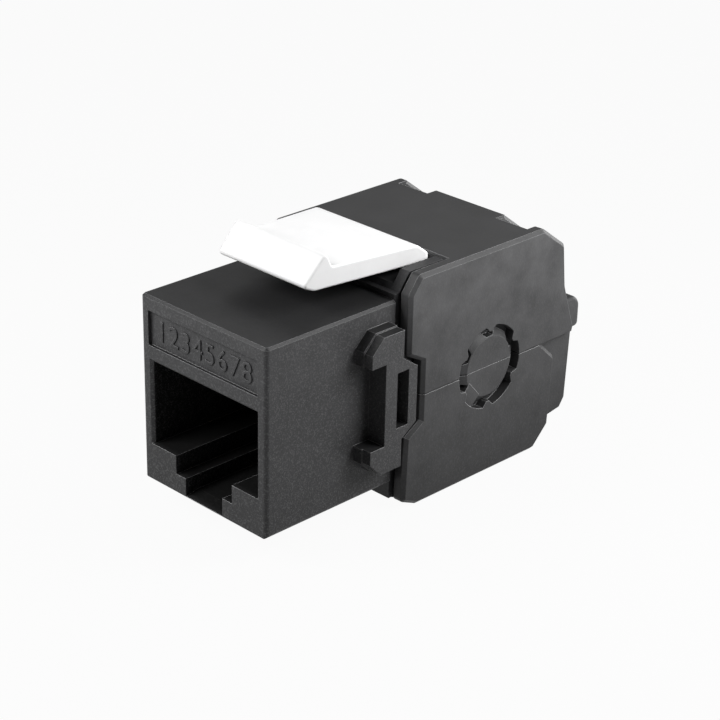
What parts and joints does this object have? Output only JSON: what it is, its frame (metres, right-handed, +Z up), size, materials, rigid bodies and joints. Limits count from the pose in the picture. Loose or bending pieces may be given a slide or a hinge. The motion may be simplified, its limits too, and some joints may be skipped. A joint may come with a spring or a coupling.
{
  "type": "keystone jack",
  "caption": "Tool-free keystone jack: modular port in front, sprung latch on top and two rear jaws that open to take the wires.",
  "frame": {"origin": "middle of the footprint, on the surface that the lower jaw rests on", "axes": "+Y from the port face to the cable end, +Z up through the latch, +X to the right seen from the port"},
  "size_m": [0.0182, 0.036, 0.0232],
  "materials": {
    "black_housing": "fine moulded grain, satin",
    "black_core": "fine moulded grain, satin",
    "black_jaw": "fine moulded grain, satin",
    "white_latch": "smooth satin",
    "comb_plastic": "smooth",
    "black_insert": "matt",
    "board_laminate": "solder mask",
    "contact_gold": "gold plated",
    "terminal_metal": "tinned bronze"
  },
  "bodies": {
    "jack_body": {"housing": "black_housing", "core_frame": "black_core", "contact_carrier": "black_insert", "circuit_board": "board_laminate", "contact_spring_1": "contact_gold", "contact_spring_2": "contact_gold", "contact_spring_3": "contact_gold", "contact_spring_4": "contact_gold", "contact_spring_5": "contact_gold", "contact_spring_6": "contact_gold", "contact_spring_7": "contact_gold", "contact_spring_8": "contact_gold", "idc_terminal_1": "terminal_metal", "idc_terminal_2": "terminal_metal", "idc_terminal_3": "terminal_metal", "idc_terminal_4": "terminal_metal", "idc_terminal_5": "terminal_metal", "idc_terminal_6": "terminal_metal", "idc_terminal_7": "terminal_metal", "idc_terminal_8": "terminal_metal"},
    "upper_cover": {"upper_jaw": "black_jaw", "upper_wire_comb": "comb_plastic"},
    "lower_cover": {"lower_jaw": "black_jaw", "lower_wire_comb": "comb_plastic"},
    "latch_arm": {"latch": "white_latch"}
  },
  "joints": [
    {"name": "upper_jaw_hinge", "type": "hinge", "parent": "jack_body", "child": "upper_cover", "pos_m": [0, -0.00195, 0.0191], "axis": [1, 0, 0], "range_deg": [0, 90]},
    {"name": "lower_jaw_hinge", "type": "hinge", "parent": "jack_body", "child": "lower_cover", "pos_m": [0, -0.00195, 0.0014], "axis": [-1, 0, 0], "range_deg": [0, 90]},
    {"name": "latch_flex", "type": "hinge", "parent": "jack_body", "child": "latch_arm", "pos_m": [0, 0.00015, 0.01925], "axis": [1, 0, 0], "range_deg": [0, 8.5], "stiffness_Nm_per_rad": 0.05}
  ]
}
